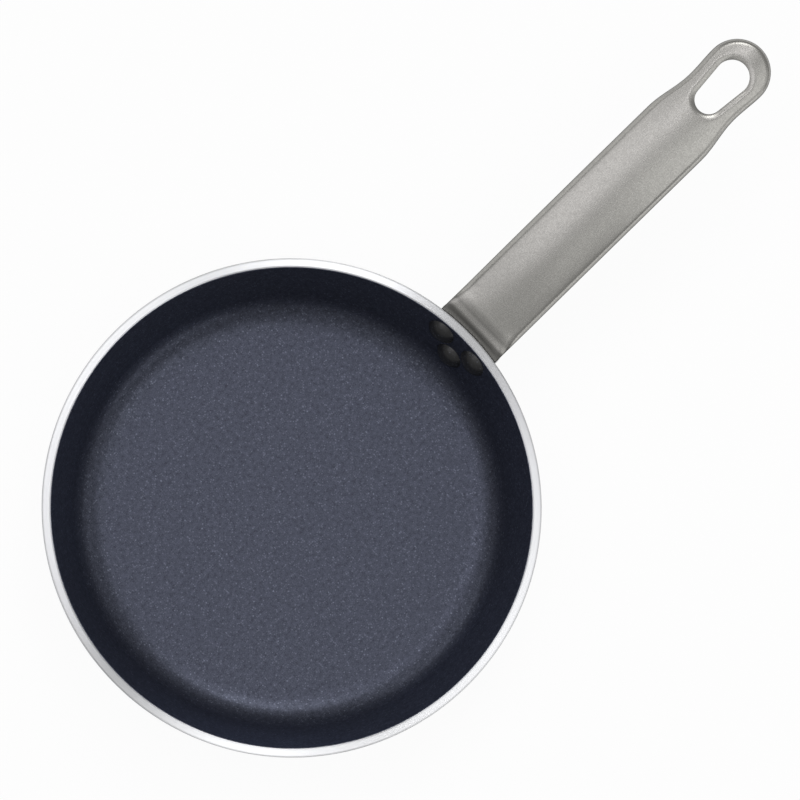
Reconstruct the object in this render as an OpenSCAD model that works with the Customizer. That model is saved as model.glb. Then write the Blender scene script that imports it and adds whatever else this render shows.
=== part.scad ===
// Omelette pan: a pressed aluminium dish with a non-stick inside and a bare
// turned rim, and a pressed strip-steel handle held by three rivets.
// Millimetres. The origin is the centre of the base's underside, +Z is up,
// and the handle points along +X. The pan is the same on both sides of Y = 0.

/* [Dish] */
// Diameter over the rim
rim_d = 240; // [200:1:300]
// Height from the underside of the base to the rim
pan_h = 42; // [36:0.5:55]
// Thickness of the dish, from the coated face to the bare outside
wall_t = 4.2; // [3:0.1:5]
// Flare of the wall, measured from vertical, in degrees
flare = 22; // [14:1:28]
// Radius of the curve between floor and wall, on the inside
corner_r = 18; // [10:0.5:22]
// Chamfer along both edges of the turned rim
rim_chamfer = 0.4; // [0.1:0.1:0.8]
// Thickness of the non-stick coating
coat_t = 0.3; // [0.2:0.05:0.5]

/* [Turned base] */
// Radius of the innermost turned ring under the base
ring_first_r = 22; // [12:1:40]
// Distance from one turned ring to the next
ring_pitch = 9; // [6:0.5:15]
// Radius of the tool that turns the rings
ring_tool_r = 1.4; // [0.8:0.1:2.5]
// Depth of the turned rings
ring_depth = 0.35; // [0.1:0.05:0.6]

/* [Handle strip] */
// Thickness of the strip steel
strip_t = 2.5; // [1.5:0.1:3]
// Width of the strip
strip_w = 36.6; // [33:0.2:42]
// Length of the grip along its curve, from the root to the hanging eye
grip_len = 132; // [110:1:180]
// Slope of the grip at the root, in degrees above level
root_slope = 22; // [14:1:28]
// Slope of the grip where the hanging eye starts, in degrees above level
eye_slope = 3; // [0:0.5:8]
// Slope at the very tip, in degrees above level
tip_slope = -2; // [-6:0.5:3]
// Radius of the crown across the strip
crown_r = 80; // [60:5:200]
// Radius of the rolled-down edges, on the upper face
lip_r = 3.2; // [2.8:0.1:4]
// How far the rolled edges turn down, in degrees
lip_turn = 65; // [40:5:75]

/* [Handle root] */
// Height from the start of the root bend to the rim
bend_drop = 2.5; // [1:0.5:5]
// Radius of the root bend, on the upper face
bend_r = 8; // [5:0.5:10]
// Slope just past the root bend, in degrees above level
bend_slope = 14; // [8:1:20]
// Radius of the hollow between the root bend and the grip
hollow_r = 25; // [15:1:60]
// Distance over which the flat root turns into the crowned grip
crown_start = 14; // [8:1:25]
// Radius of the rounded tongue round the lower rivet
tongue_r = 8.5; // [8:0.25:10]

/* [Hanging eye] */
// Length of the eye along the handle, from the shoulder to the tip
eye_len = 57; // [50:1:64]
// Width across the neck
neck_w = 30.7; // [29:0.1:33]
// Distance from the tip to the neck
neck_from_tip = 33.2; // [28:0.1:38]
// Radius of the round end
eye_r = 16.2; // [15:0.1:18]
// Distance from the tip to the centre of the slot's wide end
slot_from_tip = 20; // [18:0.1:22]
// Distance between the centres of the slot's two round ends
slot_span = 16; // [10:0.2:20]
// Radius of the slot's wide end, towards the tip
slot_wide_r = 8.4; // [6:0.1:8.5]
// Radius of the slot's narrow end, towards the grip
slot_narrow_r = 6.8; // [5:0.1:8]
// Width of the dished border round the slot
dish_w = 3.3; // [2:0.1:4]
// Depth of the dished border round the slot
dish_depth = 1; // [0.2:0.1:1.4]

/* [Rivets] */
// Diameter of the rivet shanks
rivet_d = 7; // [5:0.1:8]
// Height from the two upper rivets to the rim, on the inside
upper_drop = 8.5; // [8:0.25:10]
// Height from the lower rivet to the rim, on the inside
lower_drop = 20; // [19:0.25:21]
// Distance between the two upper rivets
rivet_pitch = 21.4; // [19:0.2:22]
// Diameter of the domed heads inside the pan
head_d = 14.6; // [12:0.1:15]
// Height of the domed heads inside the pan
head_h = 3.8; // [2.5:0.1:4.5]
// Diameter of the formed heads on the handle
tail_d = 12.6; // [11:0.1:14]
// Height of the formed heads on the handle
tail_h = 3.2; // [2:0.1:4]
// Clearance between faces that are clamped or riveted together
fit = 0.03; // [0.01:0.01:0.06]

/* [Hidden] */
$fn = 180;

aluminium = [0.84, 0.85, 0.86];
coating_navy = [0.21, 0.22, 0.28];
steel_grey = [0.63, 0.62, 0.60];
coated_head = [0.17, 0.17, 0.18];

// The inner face, the outer face and every face seated on them are offsets of
// one curve: a flat floor, a corner arc and a straight flared wall.
corner_z = wall_t + corner_r;
corner_at = rim_d / 2 - (corner_r + wall_t) / cos(flare) - (pan_h - rim_chamfer - corner_z) * tan(flare);
// Spare height of the cutting outlines above the rim
over = 12;

// Radius of the straight wall at height z, on the face that lies "off" outside the coated one
function wall_r(z, off) = corner_at + (corner_r + off) / cos(flare) + (z - corner_z) * tan(flare);

// Half outline of all that lies within that face
module within(off) {
    r = corner_r + off;
    floor_z = corner_z - r;
    top_z = pan_h + over;
    translate([corner_at, corner_z])
        intersection() {
            circle(r);
            translate([0, -r])
                square([r, r]);
        }
    polygon([
        [0, floor_z],
        [corner_at, floor_z],
        [corner_at, corner_z],
        [corner_at + r * cos(flare), corner_z - r * sin(flare)],
        [wall_r(top_z, off), top_z],
        [0, top_z]
    ]);
}

// Half section of the dish between two of these faces, cut level at height top_z
module shell_section(off_in, off_out, top_z) {
    difference() {
        intersection() {
            within(off_out);
            square([rim_d, top_z]);
        }
        within(off_in);
    }
}

// Rivets: each is [azimuth round the pan, height on the inner face]
upper_z = pan_h - upper_drop;
lower_z = pan_h - lower_drop;
upper_turn = asin(rivet_pitch / 2 / wall_r(upper_z, 0));
upper_left_seat = [upper_turn, upper_z];
upper_right_seat = [-upper_turn, upper_z];
lower_seat = [0, lower_z];
hole_d = rivet_d + 2 * fit;
strip_off = wall_t + fit;
tail_off = strip_off + strip_t + fit;
// How far the shank runs on into each head
shank_grip = 1;

// Places children on the inner face at a rivet, with +Z square to the wall, outwards
module at_rivet(seat) {
    rotate([0, 0, seat[0]])
        translate([wall_r(seat[1], 0), 0, seat[1]])
            rotate([0, 90 + flare, 0])
                children();
}

module rivet_holes() {
    for (seat = [upper_left_seat, upper_right_seat, lower_seat])
        at_rivet(seat)
            translate([0, 0, -over / 2])
                cylinder(h = over * 1.5, d = hole_d, $fn = 64);
}

// Aluminium dish with a bare turned rim, and turned rings under the base
module pan_body() {
    color(aluminium)
        difference() {
            rotate_extrude()
                difference() {
                    shell_section(coat_t + fit, wall_t, pan_h);
                    rim_edge(wall_r(pan_h, wall_t), 1);
                    rim_edge(wall_r(pan_h, coat_t + fit), -1);
                }
            base_rings();
            rivet_holes();
        }
}

// Outline that cuts one rim chamfer; side is 1 on the outer edge and -1 on the inner edge
module rim_edge(edge_r, side) {
    upper = [edge_r - side * rim_chamfer, pan_h];
    lower = [edge_r - rim_chamfer * tan(flare), pan_h - rim_chamfer];
    polygon([
        upper + 2 * (upper - lower),
        lower + 2 * (lower - upper),
        [edge_r + side * over / 4, pan_h + over / 4]
    ]);
}

// Shallow rings left by the turning tool, from the middle out to the flat's edge
module base_rings() {
    for (r = [ring_first_r : ring_pitch : corner_at - 2 * ring_tool_r])
        rotate_extrude()
            translate([r, ring_depth - ring_tool_r])
                circle(ring_tool_r, $fn = 32);
}

// Coating on the whole inside, up to the chamfer of the bare rim
module nonstick_coating() {
    color(coating_navy)
        difference() {
            rotate_extrude()
                shell_section(0, coat_t, pan_h - rim_chamfer);
            rivet_holes();
        }
}

// Handle. Its upper face is worked out first. It is the face that touches the
// wall, so it starts at the tongue's lower end, climbs the wall, turns out over
// the root bend, dips through a short hollow, follows the grip and ends at the tip.
tongue_z = lower_z - strip_off * sin(flare) - tongue_r * cos(flare);
bend_z = pan_h - bend_drop;
climb = (bend_z - tongue_z) / cos(flare);
bend_turn = 90 - flare - bend_slope;
bend_len = bend_r * bend_turn * PI / 180;
hollow_turn = root_slope - bend_slope;
hollow_len = hollow_r * hollow_turn * PI / 180;

// Stretches of the side view: [length, degrees turned upwards]
stretches = [
    [climb, 0],
    [bend_len, -bend_turn],
    [hollow_len, hollow_turn],
    [grip_len, eye_slope - root_slope],
    [eye_len, tip_slope - eye_slope]
];
strip_len = climb + bend_len + hollow_len + grip_len + eye_len;

// Point and heading [x, z, heading] after going the distance s along the stretches from "from"
function along(s, from, i = 0) =
    let (
        len = stretches[i][0],
        last = i == len(stretches) - 1,
        go = last ? s : min(s, len),
        turn = stretches[i][1] * go / len,
        chord = turn == 0 ? go : go * sin(turn / 2) / (turn / 2 * PI / 180),
        heading = from[2] + turn / 2,
        here = [from[0] + chord * cos(heading), from[1] + chord * sin(heading), from[2] + turn]
    )
    last || s <= len ? here : along(s - len, here, i + 1);

function side_view(s) = along(s, [wall_r(tongue_z, strip_off), tongue_z, 90 - flare]);

// Eases from 0 to 1 as x goes from a to b
function ease(x, a, b) = (1 - cos(180 * max(0, min(1, (x - a) / (b - a))))) / 2;

// Half width of the strip at the distance s from the tongue's lower end
function half_width(s) =
    let (to_tip = strip_len - s)
    to_tip < eye_r ? sqrt(max(0, eye_r ^ 2 - (eye_r - to_tip) ^ 2))
    : to_tip < neck_from_tip ? eye_r + (neck_w / 2 - eye_r) * ease(to_tip, eye_r, neck_from_tip)
    : to_tip < eye_len + 2 ? neck_w / 2 + (strip_w - neck_w) / 2 * ease(to_tip, neck_from_tip, eye_len + 2)
    : s < tongue_r ? sqrt(max(0, tongue_r ^ 2 - (tongue_r - s) ^ 2))
    : tongue_r + (strip_w / 2 - tongue_r) * ease(s, tongue_r, tongue_r + (lower_drop - upper_drop));

// Distance from the outer edge of the strip to a point of it
function edge_distance(s, y) =
    let (to_tip = strip_len - s)
    to_tip < eye_r ? eye_r - norm([eye_r - to_tip, y]) : half_width(s) - abs(y);

// Distance from the slot's edge to a point of the strip, negative within the slot
function slot_distance(s, y) =
    let (
        x = strip_len - slot_from_tip - s,
        lean = (slot_wide_r - slot_narrow_r) / slot_span,
        level = sqrt(1 - lean ^ 2),
        along_flank = abs(y) * -lean + x * level
    )
    along_flank < 0 ? norm([x, y]) - slot_wide_r
    : along_flank > level * slot_span ? norm([x - slot_span, y]) - slot_narrow_r
    : abs(y) * level + x * lean - slot_wide_r;

// How far the crowned upper face lies below its centre line: crown, rolled edge and dished slot
lip_w = lip_r * sin(lip_turn);
function fall(s, y) =
    let (
        into_lip = max(0, lip_w - edge_distance(s, y)),
        into_dish = max(0, 1 - max(0, slot_distance(s, y)) / dish_w)
    )
    crown_r - sqrt(crown_r ^ 2 - y ^ 2)
    + lip_r - sqrt(max(0, lip_r ^ 2 - into_lip ^ 2))
    + dish_depth * into_dish ^ 2;

// How far the face on the round wall stands inwards of its centre line, square to the wall
function wrap(r, y) =
    let (
        across = cos(flare),
        lean = sin(flare) * tan(flare),
        a = across ^ 2 - lean ^ 2,
        b = 2 * r * (across + lean)
    )
    (b - sqrt(b ^ 2 - 4 * a * y ^ 2)) / (2 * a);

// A point of the upper face, at the distance s along the strip and y across it
function upper_face(s, y) =
    let (
        at = side_view(s),
        root_end = climb + bend_len,
        crowned = ease(s, climb, root_end + crown_start),
        rise = (1 - crowned) * wrap(wall_r(min(at[1], bend_z), strip_off), y) - crowned * fall(s, y)
    )
    [at[0] - rise * sin(at[2]), y, at[1] + rise * cos(at[2])];

// The point of the lower face under it, one strip thickness away along the normal
nudge = 0.02;
function lower_face(s, y) =
    let (
        run = upper_face(s + nudge, y) - upper_face(s - nudge, y),
        side = upper_face(s, y + nudge) - upper_face(s, y - nudge),
        normal = cross(run, side)
    )
    upper_face(s, y) - strip_t * normal / norm(normal);

// Stations along the strip, close together at the round ends and in the bends
end_step = 9;
tongue_stations = [for (a = [end_step / 2 : end_step : 90]) tongue_r * (1 - cos(a))];
climb_stations = [for (i = [0 : 7]) tongue_r + (climb - tongue_r) * i / 8];
bend_stations = [for (i = [0 : 7]) climb + bend_len * i / 8];
root_stations = [for (i = [0 : 7]) climb + bend_len + (hollow_len + crown_start) * i / 8];
grip_from = climb + bend_len + hollow_len + crown_start;
eye_from = strip_len - eye_len - 2;
grip_stations = [for (i = [0 : 13]) grip_from + (eye_from - grip_from) * i / 14];
neck_stations = [for (i = [0 : 22]) eye_from + (strip_len - eye_r - eye_from) * i / 22];
tip_stations = [for (a = [90 - end_step : -end_step : 0]) strip_len - eye_r * (1 - cos(a - end_step / 2))];
stations = concat(
    tongue_stations, climb_stations, bend_stations, root_stations,
    grip_stations, neck_stations, tip_stations
);

// Places across the strip, as shares of its half width, close together at the edges
across_steps = 22;
shares = [for (j = [0 : across_steps]) sin(180 * j / across_steps - 90)];

module strip() {
    row = across_steps + 1;
    rows = len(stations);
    grid = [for (s = stations) for (share = shares) [s, share * half_width(s)]];
    upper = [for (p = grid) upper_face(p[0], p[1])];
    lower = [for (p = grid) lower_face(p[0], p[1])];
    under = len(upper);
    cells = [for (i = [0 : rows - 2]) for (j = [0 : row - 2]) i * row + j];
    left = [for (i = [0 : rows - 2]) i * row + row - 1];
    right = [for (i = [0 : rows - 2]) i * row];
    first = [for (j = [0 : row - 2]) j];
    final = [for (j = [0 : row - 2]) (rows - 1) * row + j];
    polyhedron(
        points = concat(upper, lower),
        faces = concat(
            [for (c = cells) [c, c + 1, c + row + 1]],
            [for (c = cells) [c, c + row + 1, c + row]],
            [for (c = cells) [under + c, under + c + row + 1, under + c + 1]],
            [for (c = cells) [under + c, under + c + row, under + c + row + 1]],
            [for (c = left) [c, under + c, under + c + row]],
            [for (c = left) [c, under + c + row, c + row]],
            [for (c = right) [c, c + row, under + c + row]],
            [for (c = right) [c, under + c + row, under + c]],
            [for (c = first) [c, under + c, under + c + 1]],
            [for (c = first) [c, under + c + 1, c + 1]],
            [for (c = final) [c, c + 1, under + c + 1]],
            [for (c = final) [c, under + c + 1, under + c]]
        )
    );
}

// The slot's outline seen from above: two round ends and the straight flanks between them
module slot_outline() {
    lean = (slot_wide_r - slot_narrow_r) / slot_span;
    level = sqrt(1 - lean ^ 2);
    circle(slot_wide_r, $fn = 96);
    translate([-slot_span, 0])
        circle(slot_narrow_r, $fn = 96);
    polygon([
        [-slot_wide_r * lean, slot_wide_r * level],
        [-slot_wide_r * lean, -slot_wide_r * level],
        [-slot_span - slot_narrow_r * lean, -slot_narrow_r * level],
        [-slot_span - slot_narrow_r * lean, slot_narrow_r * level]
    ]);
}

// Strip-steel handle, pressed to a crowned section and bent to seat on the wall
module handle() {
    slot_at = side_view(strip_len - slot_from_tip);
    color(steel_grey)
        difference() {
            strip();
            translate([slot_at[0], 0, slot_at[1] - over / 2])
                linear_extrude(over)
                    slot_outline();
            rivet_holes();
        }
}

// Ball whose cap stands h above the plane Z = 0, on the side away from +Z, and is d wide there
module cap_ball(d, h) {
    ball_r = ((d / 2) ^ 2 + h ^ 2) / (2 * h);
    translate([0, 0, ball_r - h])
        sphere(ball_r, $fn = 96);
}

// Cone of all that lies within the straight wall's face at "off"
module inside_of(off) {
    top_z = pan_h + over;
    cylinder(h = top_z, r1 = wall_r(0, off), r2 = wall_r(top_z, off));
}

// A rivet with a dome inside the pan and a formed head on the handle, both seated on their curved faces
module rivet(seat) {
    color(coated_head) {
        intersection() {
            at_rivet(seat)
                cap_ball(head_d, head_h);
            inside_of(-fit);
        }
        difference() {
            at_rivet(seat)
                translate([0, 0, tail_off])
                    mirror([0, 0, 1])
                        cap_ball(tail_d, tail_h);
            inside_of(tail_off);
        }
        at_rivet(seat)
            translate([0, 0, -shank_grip])
                cylinder(h = tail_off + 2 * shank_grip, d = rivet_d, $fn = 64);
    }
}

module rivet_upper_left() {
    rivet(upper_left_seat);
}

module rivet_upper_right() {
    rivet(upper_right_seat);
}

module rivet_lower() {
    rivet(lower_seat);
}

pan_body();
nonstick_coating();
handle();
rivet_upper_left();
rivet_upper_right();
rivet_lower();
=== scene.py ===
import math

import bmesh
import bpy
import numpy as np
from bpy.props import FloatProperty, FloatVectorProperty, IntProperty, PointerProperty
from mathutils import Matrix, Vector


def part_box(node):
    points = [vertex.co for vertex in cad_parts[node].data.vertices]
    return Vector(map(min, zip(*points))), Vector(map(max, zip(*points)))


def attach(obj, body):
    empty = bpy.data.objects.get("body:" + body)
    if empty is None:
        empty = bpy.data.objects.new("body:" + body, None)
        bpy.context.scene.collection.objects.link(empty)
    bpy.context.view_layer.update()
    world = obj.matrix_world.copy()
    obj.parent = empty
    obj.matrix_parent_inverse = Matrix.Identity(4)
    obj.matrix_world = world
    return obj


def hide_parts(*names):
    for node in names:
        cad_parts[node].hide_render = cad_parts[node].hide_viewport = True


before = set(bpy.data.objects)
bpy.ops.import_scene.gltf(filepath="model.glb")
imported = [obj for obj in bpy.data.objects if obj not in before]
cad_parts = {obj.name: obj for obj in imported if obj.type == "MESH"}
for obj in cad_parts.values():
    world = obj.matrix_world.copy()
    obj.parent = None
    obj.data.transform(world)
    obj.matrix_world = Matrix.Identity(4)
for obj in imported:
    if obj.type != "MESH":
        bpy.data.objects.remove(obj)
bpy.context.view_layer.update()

bl_info = {
    "name": "Omelette pan",
    "version": (1, 0, 0),
    "blender": (4, 5, 0),
    "location": "3D View > Sidebar > Pan",
    "description": "A riveted omelette pan: aluminium dish, non-stick inside, pressed handle and rivets",
    "category": "Object",
}

MM = 0.001
BODY = "root"
DISH_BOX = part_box("pan_body")
RIM_DIAMETER = DISH_BOX[1].x - DISH_BOX[0].x
PAN_HEIGHT = DISH_BOX[1].z


# Sizes, in metres and radians

def length(name, description, default, low=0.0):
    """A length that a user can change, in metres."""
    return FloatProperty(name=name, description=description, default=default, min=low,
                         unit="LENGTH", precision=5)


def angle(name, description, degrees):
    """An angle that a user can change, given in degrees and kept in radians."""
    return FloatProperty(name=name, description=description, default=math.radians(degrees),
                         subtype="ANGLE", unit="ROTATION")


def colour(name, description, default):
    """A linear colour that a user can change."""
    return FloatVectorProperty(name=name, description=description, default=default,
                               subtype="COLOR", size=3, min=0.0, max=1.0)


def share(name, description, default, high=1.0):
    """A plain factor that a user can change."""
    return FloatProperty(name=name, description=description, default=default, min=0.0, max=high)


class PanDishSizes(bpy.types.PropertyGroup):
    """Sizes of the dish and of its coating."""
    rim_diameter: length("Rim diameter", "Diameter over the rim", RIM_DIAMETER)
    height: length("Height", "Height from the base to the rim", PAN_HEIGHT)
    wall: length("Wall", "Thickness from the coated face to the outside", 4.2 * MM)
    flare: angle("Flare", "Slope of the wall, measured from vertical", 22)
    corner_radius: length("Corner radius", "Inner radius between floor and wall", 18 * MM)
    chamfer: length("Rim chamfer", "Chamfer along both edges of the turned rim", 0.4 * MM)
    coating: length("Coating", "Thickness of the non-stick coating", 0.3 * MM)
    ring_first: length("First ring", "Radius of the innermost turned ring", 22 * MM)
    ring_pitch: length("Ring pitch", "Distance from ring to ring", 9 * MM, 2 * MM)
    ring_tool: length("Ring tool", "Radius of the tool that turns the rings", 1.4 * MM)
    ring_depth: length("Ring depth", "Depth of the turned rings", 0.35 * MM)
    steps: IntProperty(name="Steps", description="Steps round the dish", default=360, min=24)


class PanHandleSizes(bpy.types.PropertyGroup):
    """Sizes of the pressed strip handle."""
    thickness: length("Thickness", "Thickness of the strip", 2.5 * MM)
    width: length("Width", "Width of the strip", 36.6 * MM)
    grip: length("Grip", "Length of the grip along its curve", 132 * MM)
    root_slope: angle("Root slope", "Slope of the grip at its root", 22)
    eye_slope: angle("Eye slope", "Slope where the hanging eye starts", 3)
    tip_slope: angle("Tip slope", "Slope at the tip", -2)
    crown: length("Crown", "Radius of the crown across the strip", 80 * MM)
    lip: length("Lip", "Radius of the rolled edges", 3.2 * MM)
    lip_turn: angle("Lip turn", "How far the rolled edges turn down", 65)
    bend_drop: length("Bend drop", "Height from the start of the root bend to the rim", 2.5 * MM)
    bend: length("Bend", "Radius of the root bend", 8 * MM)
    bend_slope: angle("Bend slope", "Slope just past the root bend", 14)
    hollow: length("Hollow", "Radius of the hollow behind the bend", 25 * MM)
    crown_start: length("Crown start", "Distance over which the flat root turns crowned", 14 * MM)
    tongue: length("Tongue", "Radius of the rounded tongue", 8.5 * MM)
    eye: length("Eye", "Length of the hanging eye", 57 * MM)
    neck: length("Neck", "Width across the neck", 30.7 * MM)
    neck_from_tip: length("Neck place", "Distance from the tip to the neck", 33.2 * MM)
    round_end: length("Round end", "Radius of the round end", 16.2 * MM)
    slot_from_tip: length("Slot place", "From the tip to the slot's wide end", 20 * MM)
    slot_span: length("Slot span", "Distance between the slot's round ends", 16 * MM)
    slot_wide: length("Slot wide end", "Radius of the slot's wide end", 8.4 * MM)
    slot_narrow: length("Slot narrow end", "Radius of the slot's narrow end", 6.8 * MM)
    dish_width: length("Border width", "Width of the dished border round the slot", 3.3 * MM)
    dish_depth: length("Border depth", "Depth of the dished border", 1.0 * MM)
    edge: length("Edge", "Radius of the deburred edges", 0.45 * MM)


class PanRivetSizes(bpy.types.PropertyGroup):
    """Sizes and places of the three rivets."""
    shank: length("Shank", "Diameter of the shanks", 7 * MM)
    upper_drop: length("Upper drop", "From the upper rivets to the rim", 8.5 * MM)
    lower_drop: length("Lower drop", "From the lower rivet to the rim", 20 * MM)
    pitch: length("Pitch", "Distance between the upper rivets", 21.4 * MM)
    head: length("Head", "Diameter of the heads inside the pan", 14.6 * MM)
    head_height: length("Head height", "Height of the heads inside the pan", 3.8 * MM)
    tail: length("Formed head", "Diameter of the formed heads on the handle", 12.6 * MM)
    tail_height: length("Formed head height", "Height of the formed heads", 3.2 * MM)
    fit: length("Fit", "Clearance between clamped faces", 0.03 * MM)


class PanFinishes(bpy.types.PropertyGroup):
    """Colours and roughness of the finishes."""
    aluminium: colour("Aluminium", "Bare turned aluminium", (0.90, 0.91, 0.92))
    aluminium_rough: share("Aluminium roughness", "Roughness of the turned metal", 0.34)
    turned: share("Turning marks", "How far the highlight is drawn across the turning marks", 1.0)
    navy: colour("Coating", "Ground colour of the non-stick coating", (0.0605, 0.0655, 0.089))
    fleck: colour("Flecks", "Colour of the mineral flecks", (0.30, 0.33, 0.42))
    coating_rough: share("Coating roughness", "Roughness of the coating", 0.38)
    pearl: share("Pearl", "How far the coating's pigment flakes shine like metal", 0.75)
    stoved: colour("Stoved grey", "Metallic grey stoved coating of the handle", (0.362, 0.355, 0.334))
    stoved_rough: share("Stoved roughness", "Roughness of the stoved coating", 0.28)
    dome: colour("Rivet dome", "Coated rivet heads inside the pan", (0.011, 0.011, 0.0115))


class PanStudio(bpy.types.PropertyGroup):
    """Place of the camera and brightness of the lamps."""
    distance: length("Distance", "From the camera to the point it looks at", 3.0)
    frame_width: length("Frame width", "Width that the picture takes in at the rim's height", 384.6 * MM)
    aim_along: length("Aim along", "Distance along the handle from the dish's centre to the aim", 73.2 * MM)
    aim_across: length("Aim across", "Distance from the handle's centre line to the aim", 0.75 * MM)
    tilt: angle("Tilt", "How far the camera leans away from the handle", 6.0)
    lean: angle("Lean", "How far the camera leans to the handle's right side", 1.1)
    turn: angle("Turn", "Angle of the handle in the picture, up from the right", 44.22)
    sky: share("Sky", "Brightness of the surroundings", 0.33, 4.0)


def sizes(context):
    """The four groups of values, in one place."""
    scene = context.scene
    return scene.pan_dish, scene.pan_handle, scene.pan_rivets, scene.pan_finishes


# Meshes

def mesh_piece(name, points, faces):
    """A new object whose mesh holds these points and faces, with its place in its mesh."""
    mesh = bpy.data.meshes.new(name)
    mesh.from_pydata(points.tolist(), [], faces.tolist() if isinstance(faces, np.ndarray) else faces)
    piece = bpy.data.objects.new(name, mesh)
    bpy.context.scene.collection.objects.link(piece)
    return piece


def weld(piece, gap=1e-7, closed=True):
    """Merges points that lie together. A closed piece also loses the faces that this closes up, and its
    faces are turned outwards."""
    work = bmesh.new()
    work.from_mesh(piece.data)
    bmesh.ops.remove_doubles(work, verts=work.verts, dist=gap)
    if closed:
        bmesh.ops.dissolve_degenerate(work, edges=work.edges, dist=gap)
        bmesh.ops.recalc_face_normals(work, faces=work.faces)
    work.to_mesh(piece.data)
    work.free()


def smooth(piece, sharp_degrees):
    """Shades a piece smooth, with a crease where two faces turn by more than the angle."""
    piece.data.shade_smooth()
    piece.data.set_sharp_from_angle(angle=math.radians(sharp_degrees))


def grid_faces(rows, columns, closed):
    """Corners of the four-sided faces of a grid, with the last column joined to the first if it is closed."""
    wide = columns if closed else columns - 1
    i, j = np.meshgrid(np.arange(rows - 1), np.arange(wide), indexing="ij")
    nxt = (j + 1) % columns
    return np.stack([i * columns + j, (i + 1) * columns + j,
                     (i + 1) * columns + nxt, i * columns + nxt], -1).reshape(-1, 4)


def revolve(name, outline, steps):
    """Turns an outline of [radius, height] rows about the Z axis: x = r cos a, y = r sin a, z = h."""
    a = np.linspace(0, 2 * np.pi, steps, endpoint=False)
    r, h = outline[:, :1], outline[:, 1:]
    points = np.stack([r * np.cos(a), r * np.sin(a), h + 0 * a], -1).reshape(-1, 3)
    return mesh_piece(name, points, grid_faces(len(outline), steps, True))


def arc(centre, radius, start, end, steps):
    """Points on a round stretch: centre + radius (cos t, sin t), with t from start to end in degrees."""
    t = np.radians(np.linspace(start, end, steps))[:, None]
    return np.asarray(centre) + radius * np.hstack([np.cos(t), np.sin(t)])


def evenly(start, end, steps):
    """Points on a straight stretch, both ends included."""
    return np.linspace(np.asarray(start, float), np.asarray(end, float), steps)


# The dish's outline. Every face of it is an offset of one curve, as in the solid model.

FLOOR_STEPS, CORNER_STEPS, WALL_STEPS, RIM_STEPS, GROOVE_STEPS = 24, 26, 12, 4, 9


def corner_centre(dish):
    """Radius and height of the centre of the curve between floor and wall."""
    r = dish.corner_radius + dish.wall
    z = dish.wall + dish.corner_radius
    run = (dish.height - dish.chamfer - z) * math.tan(dish.flare)
    return np.array([dish.rim_diameter / 2 - r / math.cos(dish.flare) - run, z])


def wall_radius(dish, z, offset):
    """Radius of the straight wall at height z, on the face that lies offset outside the coated one."""
    centre = corner_centre(dish)
    level = centre[0] + (dish.corner_radius + offset) / math.cos(dish.flare)
    return level + (z - centre[1]) * math.tan(dish.flare)


def face_outline(dish, offset, top):
    """One face from the axis to the height top: a flat floor, a corner arc and a straight flared wall."""
    centre = corner_centre(dish)
    r = dish.corner_radius + offset
    floor = centre[1] - r
    corner = arc(centre, r, -90, -math.degrees(dish.flare), CORNER_STEPS)
    return np.vstack([
        evenly([0, floor], [centre[0], floor], FLOOR_STEPS)[:-1],
        corner,
        evenly(corner[-1], [wall_radius(dish, top, offset), top], WALL_STEPS)[1:],
    ])


def base_outline(dish):
    """Underside from the axis to the corner: flat, with round-bottomed rings cut by a turning tool."""
    edge = corner_centre(dish)[0]
    rings = np.arange(dish.ring_first, edge - 2 * dish.ring_tool, dish.ring_pitch)
    half = math.acos(1 - dish.ring_depth / dish.ring_tool)
    turn = np.linspace(-half, half, GROOVE_STEPS)
    groove = np.stack([dish.ring_tool * np.sin(turn),
                       dish.ring_depth - dish.ring_tool * (1 - np.cos(turn))], -1)
    return np.vstack([[[0, 0]]] + [groove + [r, 0] for r in rings])


def dish_outline(dish):
    """Closed half outline of the metal: base, outer corner, outer wall, turned rim, and the face under the
    coating."""
    outer = face_outline(dish, dish.wall, dish.height - dish.chamfer)
    outer = outer[outer[:, 0] >= corner_centre(dish)[0] - 1e-9]
    inner = face_outline(dish, dish.coating, dish.height - dish.chamfer)
    rim = evenly([wall_radius(dish, dish.height, dish.wall) - dish.chamfer, dish.height],
                 [wall_radius(dish, dish.height, dish.coating) + dish.chamfer, dish.height], RIM_STEPS)
    return np.vstack([base_outline(dish), outer, rim, inner[::-1]])


def coating_outline(dish):
    """Closed half outline of the coating: its own face, its edge at the bare rim, the face on the metal."""
    top = dish.height - dish.chamfer
    upper = face_outline(dish, 0, top)
    under = face_outline(dish, dish.coating, top)
    return np.vstack([upper, under[::-1]])


# The handle. Its upper face is worked out over s, the distance along the strip, and y, across it.

EYE_LEAD = 2 * MM                      # how far before the eye its shoulder starts
ACROSS_CELLS, TONGUE_ROWS, EYE_RINGS = 40, 11, 16


def ease(x, start, end):
    """Goes from 0 to 1 as x goes from start to end, along half a cosine wave."""
    return (1 - np.cos(np.pi * np.clip((x - start) / (end - start), 0, 1))) / 2


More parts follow.
